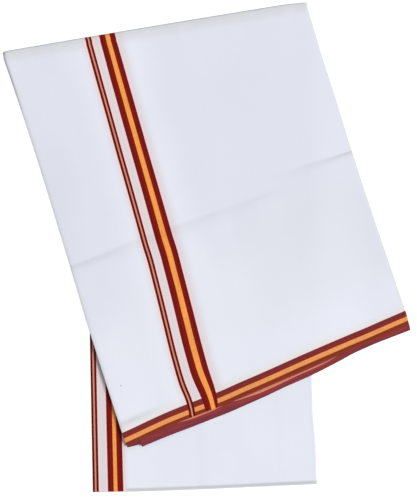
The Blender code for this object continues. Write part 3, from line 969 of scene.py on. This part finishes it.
def white_ground(net, colours, across, along, stripes):
    """The undyed cotton, from its duller colour to its full one.

    Its level is slow noise, the yarns' own uneven tone, plus painted light: a rise away from its dullest way,
    near the crest, towards both hems, which starts later at the right, and a rise about the wide stripe. Both
    rises stand in for how the cloth's gentle slopes take the light.
    """
    solid = net.node("ShaderNodeTexCoord").outputs["Object"]
    mottle = net.noise(solid, "mottle")
    # Painted shade and light: dullest near the crest, brighter towards both hems.
    later = net.soft(across, "later_at_right")
    from_middle = net.math("SUBTRACT", net.distance(along, DULL_WAY), later)
    nearer = net.soft(from_middle, "painted_light_to_hems")
    level = net.math("MULTIPLY_ADD", mottle, MOTTLE_SHARE, nearer)
    # Painted light: brighter about the wide stripe.
    if stripes:
        away = net.distance(across, stripes["wide"][0] + STRIPES_MIDDLE)
        level = net.math("ADD", level, net.soft(away, "painted_light_by_stripes"))
    return net.mix(net.soft(level, "white"), colours.white_low, colours.white)


def tinted_white(net, colours, ground, place, across, along, right_side, striped):
    """The white, cream along its left side, with painted shade along its crest, right side, back hem and left
    edge near the crest.

    A striped cloth also has painted shade over the crease above its hem and where it slopes to the hem, and
    is cream beside the hem's band. The masks of painted shade are joined by taking the larger.
    """
    edges = net.node("ShaderNodeSeparateXYZ", {0: net.node("ShaderNodeUVMap", uv_map=EDGES_UV).outputs[0]})
    to_selvedge = net.distance(edges.outputs["X"], BACK_HEM_SHADE_LINE)
    to_crest = edges.outputs["Y"]
    to_left = net.math("ABSOLUTE", across)
    to_right = net.distance(across, right_side)
    # Painted shade: a grey line along the back hem, for the shade at the stack's edge.
    colour = net.mix(net.soft(to_selvedge, "selvedge"), ground, colours.selvedge)
    colour = net.mix(net.soft(to_left, "side"), colour, colours.cream)
    # Painted shade: a patchy grey band along the crest, where the fold turns down, and a grey strip along the
    # right side.
    crest_shade_patches = net.soft(net.noise(place, "crest_shade_patches"), "crest_shade_patches")
    crest_shade = net.overlap((to_crest, "crest"), (to_crest, "crest_rim"))
    dull = net.math("MULTIPLY", crest_shade, crest_shade_patches, clamp=True)
    dull = net.largest(dull, net.soft(to_right, "side"))
    if striped:
        # Painted shade: a grey strip over the crease above the hem, and a grey patch where the cloth slopes.
        crease_shade = net.overlap((net.distance(along, CREASE_SHADE_WAY), "crease_shade"), (across, "crease_shade_left"))
        slope_shade = net.overlap((net.distance(along, SLOPE_SHADE_WAY), "slope_shade"), (across, "slope_shade_right"))
        dull = net.largest(dull, crease_shade, slope_shade)
        colour = net.mix(net.soft(along, "above_hem"), colour, colours.cream)
    # The greyer white laid here is painted shade.
    colour = net.mix(dull, colour, colours.painted_shade)
    # Painted shade: the left edge near the crest is greyed where the fold's side is in shade.
    return net.mix(net.overlap((to_left, "left_edge_shade_across"), (to_crest, "left_edge_shade_down")), colour, colours.left_edge_shade)


def between_stripes(net, colours, colour, across, stripes, past):
    """The faint tint in the white among the stripes, which dies away past the wide one."""
    start = stripes["narrow"][0] + HALO_START
    end = sum(stripes["wide"][:2])
    middle, half = 0.5 * (start + end), 0.5 * (end - start)
    tint = net.ramp(net.distance(across, middle), half, half + past, 1.0, 0.0)
    return net.mix(tint, colour, colours.halo)


def cotton_material(name, colours, weave, stripes=None, halo=0.0, right_side=LAYER_WIDTH, spot=None):
    """Woven cotton: white ground, stripes along the cloth over the band along its hem.

    stripes holds the narrow and the wide stripe: start, width, and where the middle band
    starts and ends. halo is how far the tint among them goes on past them, right_side
    the cloth's width, and spot the place of a small grey stain.
    """
    material = bpy.data.materials.new(name)
    material.use_nodes = True
    net = Net(material.node_tree)
    shader = material.node_tree.nodes["Principled BSDF"]
    place = net.node("ShaderNodeUVMap", uv_map=CLOTH_UV).outputs[0]
    split = net.node("ShaderNodeSeparateXYZ", {0: place})
    across, along = split.outputs["X"], split.outputs["Y"]
    weave_sizes = {"Place": place, "Threads": weave.threads}
    threads = net.node("ShaderNodeGroup", weave_sizes, node_tree=plain_weave_group())

    ground = white_ground(net, colours, across, along, stripes)
    colour = tinted_white(net, colours, ground, place, across, along, right_side, bool(stripes))
    pieces = [hem_band(net, colours, weave, place, along, bool(stripes))]
    if stripes:
        pieces += [stripe(net, colours, weave, across, kind, sizes) for kind, sizes in stripes.items()]
        colour = between_stripes(net, colours, colour, across, stripes, halo)
    fringes = net.largest(*(piece.outputs["Beside"] for piece in pieces))
    colour = net.mix(net.math("MULTIPLY", fringes, FRINGE_SHARE), colour, colours.fringe)
    if spot:
        ends = {0: place, 1: (*spot, 0.0)}
        away = net.node("ShaderNodeVectorMath", ends, operation="DISTANCE").outputs["Value"]
        colour = net.mix(net.soft(away, "spot"), colour, colours.spot)
    for piece in pieces:
        colour = net.mix(piece.outputs["Mask"], colour, piece.outputs["Colour"])
    dyed = net.largest(*(piece.outputs["Mask"] for piece in pieces))

    uneven = net.math("SUBTRACT", threads.outputs["Tone"], 0.5)
    strength = net.math("MULTIPLY_ADD", dyed, weave.dyed_tone - weave.white_tone, weave.white_tone)
    brightness = net.math("MULTIPLY_ADD", uneven, strength, 1.0)
    lit = net.node("ShaderNodeVectorMath", {0: colour, 1: brightness}, operation="MULTIPLY")
    net.tree.links.new(lit.outputs[0], shader.inputs["Base Color"])

    raised = net.math("MULTIPLY_ADD", dyed, DYED_RISE, threads.outputs["Height"])
    bump = net.node("ShaderNodeBump", {"Height": raised, "Strength": 1.0, "Distance": weave.relief})
    net.tree.links.new(bump.outputs[0], shader.inputs["Normal"])
    for socket, value in COTTON_FINISH.items():
        shader.inputs[socket].default_value = value
    return material


# ---- settings ---------------------------------------------------------------------

def srgb(*bytes_of_colour):
    """Linear light from display values of 0 to 255."""
    shown = np.array(bytes_of_colour) / 255.0
    linear = np.where(shown <= 0.04045, shown / 12.92, ((shown + 0.055) / 1.055) ** 2.4)
    return tuple(float(x) for x in linear)


def colour_property(name, description, *shown):
    """A colour property whose default is given in display values."""
    return FloatVectorProperty(
        name=name, description=description, subtype="COLOR", size=3, min=0.0, max=1.0, default=srgb(*shown),
    )


class DhotiWeave(bpy.types.PropertyGroup):
    """Sizes of the cloth and its weave."""
    thickness: FloatProperty(
        name="Thickness", description="Thickness of the cotton", default=0.25 * MM,
        unit="LENGTH", precision=4)
    threads: FloatProperty(
        name="Threads", description="Thread pairs in each metre, both ways", default=1100.0)
    relief: FloatProperty(
        name="Weave relief", description="Height of the threads in the bump", default=0.03 * MM,
        unit="LENGTH", precision=5)
    feather: FloatProperty(
        name="Feather", description="Width over which one yarn colour gives way to the next",
        default=0.9 * MM, unit="LENGTH", precision=4)
    white_tone: FloatProperty(
        name="White unevenness", description="Contrast of thick and thin yarns in the white", default=0.012)
    dyed_tone: FloatProperty(
        name="Dyed unevenness", description="Contrast of thick and thin yarns in the stripes", default=0.22)


class DhotiColours(bpy.types.PropertyGroup):
    """Colours of the yarns, and of the painted shade on the white."""
    white: colour_property("White", "The undyed cotton", 231, 234, 244)
    # The duller white is the low end of the yarns' uneven tone and of the painted shade near the crest.
    white_low: colour_property("White, duller", "The undyed cotton where it is duller", 223, 226, 237)
    halo: colour_property("Halo", "The white between the stripes", 220, 214, 218)
    # This grey is painted shade along the back hem, standing in for the shade at the stack's edge rather than
    # a colour of the yarns.
    selvedge: colour_property("Selvedge", "The denser yarns along the plain selvedge", 198, 199, 204)
    # Painted shade: this greyer white is laid along the crest, the right side, above the hem's crease and
    # where the cloth slopes.
    painted_shade: colour_property("Handled", "The white along its crest, less blue", 216, 216, 219)
    # Painted shade: the grey of the left edge near the crest, where the fold's side turns from the light.
    left_edge_shade: colour_property("Worn", "The white of its left edge near the crest, greyed", 175, 175, 178)
    spot: colour_property("Spot", "A small stain", 176, 178, 188)
    cream: colour_property("Cream", "The white just above the hem's band, less blue", 229, 227, 225)
    fringe: colour_property("Fringe", "Dye that has run a little into the white", 255, 208, 206)
    maroon: colour_property("Maroon", "The stripes' outer bands", 129, 22, 2)
    maroon_narrow: colour_property("Narrow maroon", "The narrow stripe's outer bands", 94, 14, 2)
    maroon_edge: colour_property("Maroon edge", "The stripes' outermost yarns", 106, 16, 26)
    orange: colour_property("Orange", "The middle band of the wide stripe", 243, 158, 82)
    salmon: colour_property("Salmon", "The middle band of the narrow stripe", 218, 138, 116)
    hem_low: colour_property("Hem, lower band", "The hem's band next to the selvedge", 132, 52, 19)
    hem_orange: colour_property("Hem orange", "The hem's middle band", 233, 152, 92)
    hem_maroon: colour_property("Hem, upper band", "The hem's upper band", 132, 45, 36)
    hem_edge: colour_property("Hem edge", "The hem's outermost yarns", 108, 46, 60)
    under_low: colour_property("Second band", "The hidden layers' band next to the selvedge", 146, 58, 57)
    under_middle: colour_property("Second middle", "The hidden layers' middle band", 212, 128, 106)


class DhotiStage(bpy.types.PropertyGroup):
    """The floor, lights and camera."""
    key_strength: FloatProperty(
        name="Key light", description="The soft key's light, in watts on each square metre", default=2.40)
    key_azimuth: FloatProperty(
        name="Key direction", description="Where the key stands, round from +X", default=np.radians(-15.0),
        subtype="ANGLE")
    key_height: FloatProperty(
        name="Key height", description="How high the key stands over the floor", default=np.radians(52.0),
        subtype="ANGLE")
    key_softness: FloatProperty(
        name="Key softness", description="How wide the key looks from the floor", default=np.radians(22.0),
        subtype="ANGLE")
    fill: FloatProperty(name="Fill", description="Strength of the even light from all round", default=0.40)
    lens: FloatProperty(name="Lens", description="Focal length in millimetres", default=135.0)
    view_height: FloatProperty(
        name="View height", description="Height of floor that the picture takes in", default=0.75,
        unit="LENGTH")
    floor_glow: FloatProperty(
        name="Floor glow", description="Light that the floor gives off, to stay pale", default=0.93)


# ---- operators ----------------------------------------------------------------------

class DHOTI_OT_front_cloth(bpy.types.Operator):
    """Make the outermost layer: the striped front, over the fold and down to the floor side"""
    bl_idname = "dhoti.front_cloth"
    bl_label = "Front cloth"

    def execute(self, context):
        weave, colours = context.scene.dhoti_weave, context.scene.dhoti_colours
        counts = COUNTS["front_cloth"]
        t = rows(*counts["rows"])
        end = run(0, (0.0, END_TURN, END_COLUMNS), (0.0, END_GAP), t, END_SLOT["first"], END_SHY)
        face = run(0, (0.0, 0.0, counts["columns"]), (1.0, 0.0), t)
        lap = run(1, (1.0, 0.0, 2), (1.0, -LAP), t)
        strips = [end, turn(-1, end, face), face, turn(1, face, lap), lap]
        u, down, points = sheet_grid(strips, t, weave.thickness)

        first_face = len(end["u"]) + PLEAT_COLUMNS
        faced = np.where(np.arange(len(u))[:, None] < first_face, -u, u)
        lapped = np.arange(len(u))[:, None] >= first_face + len(face["u"])
        faced = np.where(lapped, 2.0 - u, faced)
        across = striped_place(faced, np.minimum(1.0 - down, 1.0))
        along = way_from_hem(u, down) - eased(u, HEM_WANDER, "stray")
        piece = grid_mesh("front_cloth", points, across, along, down, weave.thickness)
        stripes = {"narrow": NARROW, "wide": WIDE}
        piece.data.materials.append(
            cotton_material("striped_cotton_front", colours, weave, stripes, HALO["front"], spot=SPOT))
        declare(piece, "front_panel")
        return {"FINISHED"}


def striped_place(u, v):
    """Metres across the cloth: straight lines between the stripes' edges at each v.

    Below 0 it is the turned-in end, and past 1 the next layer, both at true width.
    """
    narrow_left, wide_left, wide_right = (
        eased(v, STRIPE_PATH, key, width=0.025) for key in ("narrow_left", "wide_left", "wide_right"))
    width = wide_right - wide_left
    middle = (wide_left + width * eased(v, WIDE_MIDDLE, end) for end in ("from", "to"))
    shares = (np.zeros_like(v), narrow_left, narrow_left + NARROW_SHARE,
              wide_left, *middle, wide_right, np.ones_like(v))
    metres = (0.0, NARROW[0], sum(NARROW[:2]), WIDE[0], WIDE[0] + WIDE[2], WIDE[0] + WIDE[3],
              sum(WIDE[:2]), LAYER_WIDTH)
    place = np.where(u < 0.0, u * LAYER_WIDTH, LAYER_WIDTH + (u - 1.0) * LAYER_WIDTH)
    for left, right, start, end in zip(shares, shares[1:], metres, metres[1:]):
        within = (u >= left) & (u <= right)
        place = np.where(within, start + (end - start) * (u - left) / (right - left), place)
    return place


class DHOTI_OT_second_cloth(bpy.types.Operator):
    """Make the second layer, whose border stands out past the front hem"""
    bl_idname = "dhoti.second_cloth"
    bl_label = "Second cloth"

    def execute(self, context):
        weave, colours = context.scene.dhoti_weave, context.scene.dhoti_colours
        counts = COUNTS["second_cloth"]
        t = rows(*counts["rows"])
        layer = run(1, (1.0, -LAP, counts["columns"]), (0.0, 0.0), t)
        lap = run(2, (0.0, 0.0, 2), (0.0, LAP), t)
        strips = [layer, turn(-1, layer, lap), lap]
        u, down, points = sheet_grid(strips, t, weave.thickness)
        across = LAYER_WIDTH * (1.0 + np.abs(1.0 - u))
        along = way_from_hem(u, down) + HEM_BAND[1] + eased(u, SLIVER, "shows")
        piece = grid_mesh("second_cloth", points, across, along, down, weave.thickness)
        piece.data.materials.append(cotton_material("bordered_cotton_second", colours, weave))
        declare(piece, "second_panel")
        return {"FINISHED"}


class DHOTI_OT_inner_pleats(bpy.types.Operator):
    """Make the five hidden layers, pleated to and fro, that show only at the edges"""
    bl_idname = "dhoti.inner_pleats"
    bl_label = "Inner pleats"

    def execute(self, context):
        weave, colours = context.scene.dhoti_weave, context.scene.dhoti_colours
        counts = COUNTS["inner_pleats"]
        t = rows(*counts["rows"])
        strips = []
        for layer in range(2, 7):
            rightwards = layer % 2 == 0
            start, end = (0.0, 1.0) if rightwards else (1.0, 0.0)
            shift = LAP if layer == 2 else 0.0
            strips.append(run(layer, (start, shift, counts["columns"]), (end, 0.0), t))
        lap = run(7, (1.0, 0.0, 2), (1.0, -LAP), t)
        woven = []
        for number, (strip, following) in enumerate(zip(strips, strips[1:] + [lap])):
            side = 1 if number % 2 == 0 else -1
            woven += [strip, turn(side, strip, following, INNER_PLEAT_COLUMNS)]
        woven.append(lap)
        u, down, points = sheet_grid(woven, t, weave.thickness)
        across = LAYER_WIDTH * np.cumsum(np.abs(np.diff(u, axis=0, prepend=u[:1])), axis=0)
        piece = grid_mesh("inner_pleats", points, across, way_from_hem(u, down), down, weave.thickness)
        piece.data.materials.append(cotton_material("bordered_cotton_inner", colours, weave))
        declare(piece, "inner_folds")
        return {"FINISHED"}


class DHOTI_OT_back_cloth(bpy.types.Operator):
    """Make the innermost layer, whose striped back section shows below the front hem"""
    bl_idname = "dhoti.back_cloth"
    bl_label = "Back cloth"

    def execute(self, context):
        weave, colours = context.scene.dhoti_weave, context.scene.dhoti_colours
        counts = COUNTS["back_cloth"]
        t = rows(*counts["rows"])
        face = run(7, (1.0, -LAP, counts["columns"]), (0.0, 0.0), t)
        end = run(7, (0.0, END_GAP, END_COLUMNS), (0.0, END_TURN), t, END_SLOT["last"], END_SHY)
        strips = [face, turn(-1, face, end), end]
        u, down, points = sheet_grid(strips, t, weave.thickness)
        turned = np.arange(len(u))[:, None] >= len(face["u"]) + (PLEAT_COLUMNS + 1) // 2
        across = np.where(turned, -u, u) * BACK_WIDTH
        piece = grid_mesh("back_cloth", points, across, way_from_hem(u, down), down, weave.thickness)
        stripes = {"narrow": BACK_NARROW, "wide": BACK_WIDE}
        piece.data.materials.append(
            cotton_material("striped_cotton_back", colours, weave, stripes, HALO["back"], BACK_WIDTH))
        declare(piece, "back_panel")
        return {"FINISHED"}


class DHOTI_OT_stage(bpy.types.Operator):
    """Lay the floor and set the lights and the camera"""
    bl_idname = "dhoti.stage"
    bl_label = "Stage"

    def execute(self, context):
        stage = context.scene.dhoti_stage
        context.scene.view_settings.view_transform = "Standard"
        self.lay_floor(stage)
        self.set_lights(context, stage)
        self.set_camera(context, stage)
        return {"FINISHED"}

    def lay_floor(self, stage):
        """A flat square of pale matt floor."""
        corners = [(x * FLOOR_HALF, y * FLOOR_HALF, 0.0) for x, y in ((-1, -1), (1, -1), (1, 1), (-1, 1))]
        mesh = bpy.data.meshes.new("floor")
        mesh.from_pydata(corners, [], [(0, 1, 2, 3)])
        floor = bpy.data.objects.new("floor", mesh)
        bpy.context.collection.objects.link(floor)
        material = bpy.data.materials.new("pale_floor")
        material.use_nodes = True
        shader = material.node_tree.nodes["Principled BSDF"]
        shader.inputs["Base Color"].default_value = FLOOR_GREY
        shader.inputs["Roughness"].default_value = FLOOR_ROUGHNESS
        shader.inputs["Emission Color"].default_value = WHITE_LIGHT
        shader.inputs["Emission Strength"].default_value = stage.floor_glow
        mesh.materials.append(material)
        floor.visible_diffuse = False

    def set_lights(self, context, stage):
        """One wide soft key from the side, over even light from all round."""
        away = Vector((
            np.cos(stage.key_height) * np.cos(stage.key_azimuth),
            np.cos(stage.key_height) * np.sin(stage.key_azimuth),
            np.sin(stage.key_height),
        ))
        light = bpy.data.lights.new("key", "SUN")
        light.energy = stage.key_strength
        light.angle = stage.key_softness
        key = bpy.data.objects.new("key", light)
        key.location = away * KEY_DISTANCE
        key.rotation_euler = away.to_track_quat("Z", "Y").to_euler()
        context.collection.objects.link(key)
        world = bpy.data.worlds.new("studio")
        world.use_nodes = True
        background = world.node_tree.nodes["Background"]
        background.inputs["Color"].default_value = WHITE_LIGHT
        background.inputs["Strength"].default_value = stage.fill
        context.scene.world = world

    def set_camera(self, context, stage):
        """Straight above, framed on the outline with +Y up the picture."""
        lens = bpy.data.cameras.new("camera")
        lens.lens = stage.lens
        lens.sensor_width = SENSOR
        camera = bpy.data.objects.new("camera", lens)
        camera.location = Vector(VIEW_MIDDLE) + Vector((0.0, 0.0, stage.view_height * stage.lens / SENSOR))
        context.collection.objects.link(camera)
        context.scene.camera = camera


OPERATORS = (
    DHOTI_OT_front_cloth,
    DHOTI_OT_second_cloth,
    DHOTI_OT_inner_pleats,
    DHOTI_OT_back_cloth,
    DHOTI_OT_stage,
)


class DHOTI_PT_pieces(bpy.types.Panel):
    """The pieces of the folded dhoti and their settings"""
    bl_idname = "DHOTI_PT_pieces"
    bl_label = "Folded dhoti"
    bl_space_type = "VIEW_3D"
    bl_region_type = "UI"
    bl_category = "Dhoti"

    def draw(self, context):
        for operator in OPERATORS:
            self.layout.operator(operator.bl_idname)
        for settings in (context.scene.dhoti_weave, context.scene.dhoti_colours, context.scene.dhoti_stage):
            box = self.layout.box()
            for name in settings.__annotations__:
                box.prop(settings, name)


CLASSES = (DhotiWeave, DhotiColours, DhotiStage, *OPERATORS, DHOTI_PT_pieces)


def register():
    """Makes the settings, operators and panel known."""
    for kind in CLASSES:
        bpy.utils.register_class(kind)
    bpy.types.Scene.dhoti_weave = PointerProperty(type=DhotiWeave)
    bpy.types.Scene.dhoti_colours = PointerProperty(type=DhotiColours)
    bpy.types.Scene.dhoti_stage = PointerProperty(type=DhotiStage)


def unregister():
    """Takes them away again."""
    del bpy.types.Scene.dhoti_stage
    del bpy.types.Scene.dhoti_colours
    del bpy.types.Scene.dhoti_weave
    for kind in reversed(CLASSES):
        bpy.utils.unregister_class(kind)


def main():
    """Makes every piece and the stage."""
    register()
    bpy.ops.dhoti.front_cloth()
    bpy.ops.dhoti.second_cloth()
    bpy.ops.dhoti.inner_pleats()
    bpy.ops.dhoti.back_cloth()
    bpy.ops.dhoti.stage()


if __name__ == "__main__":
    main()
